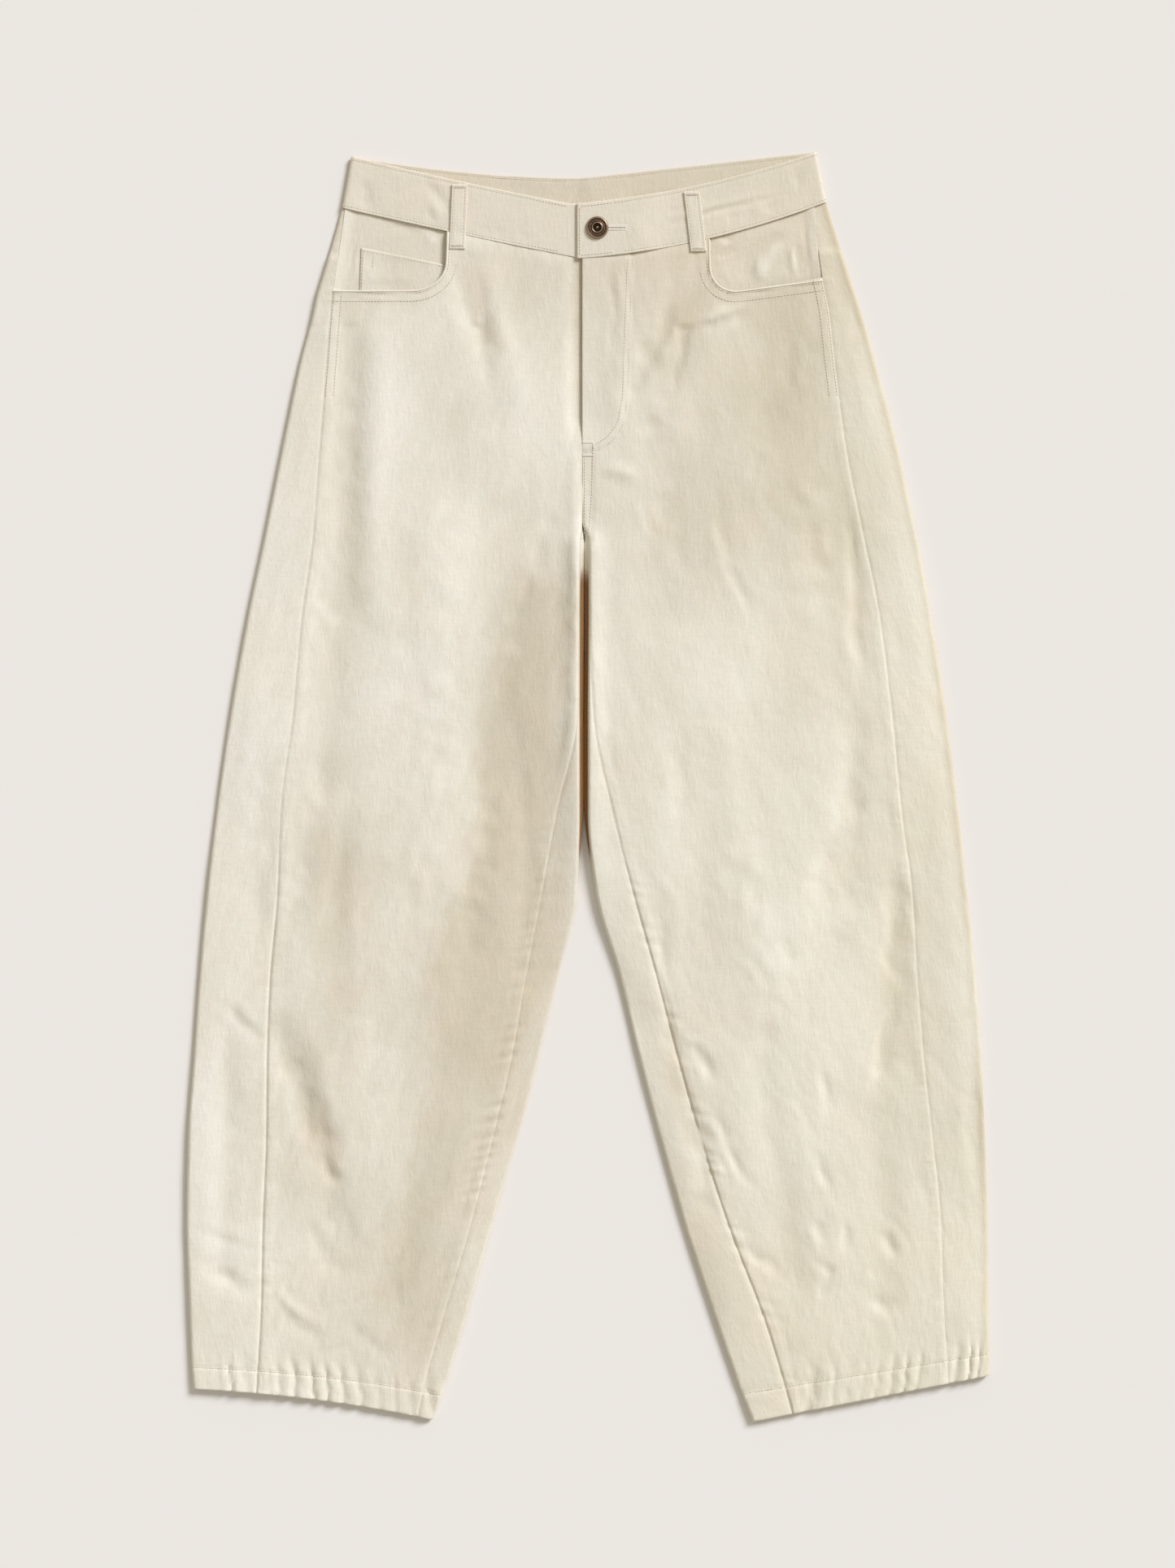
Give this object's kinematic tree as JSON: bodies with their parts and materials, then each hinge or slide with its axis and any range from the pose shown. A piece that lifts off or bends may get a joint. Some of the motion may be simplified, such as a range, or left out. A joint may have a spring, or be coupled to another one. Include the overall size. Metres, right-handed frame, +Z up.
{
  "type": "barrel leg trousers",
  "caption": "Barrel leg trousers in cream cotton twill, laid flat with the front up: curved legs, lapped fly, tab waistband, scooped hip pockets.",
  "frame": {"origin": "on the surface below, under the middle of the garment's box", "axes": "+Y towards the waist, +X towards the wearer's left leg, +Z up from the surface, out of the front"},
  "size_m": [0.631, 0.9978, 0.0093],
  "materials": {
    "twill": "heavy cotton twill, matt, fine diagonal ribs, cream",
    "button_metal": "dark aged bronze, satin, brighter on raised edges"
  },
  "bodies": {
    "root": {"back_leg_right": "twill", "back_leg_left": "twill", "front_leg_right": "twill", "front_leg_left": "twill", "pocket_facing_right": "twill", "pocket_facing_left": "twill", "coin_pocket": "twill", "waistband": "twill", "belt_loop_right": "twill", "belt_loop_left": "twill", "button": "button_metal"}
  },
  "joints": []
}
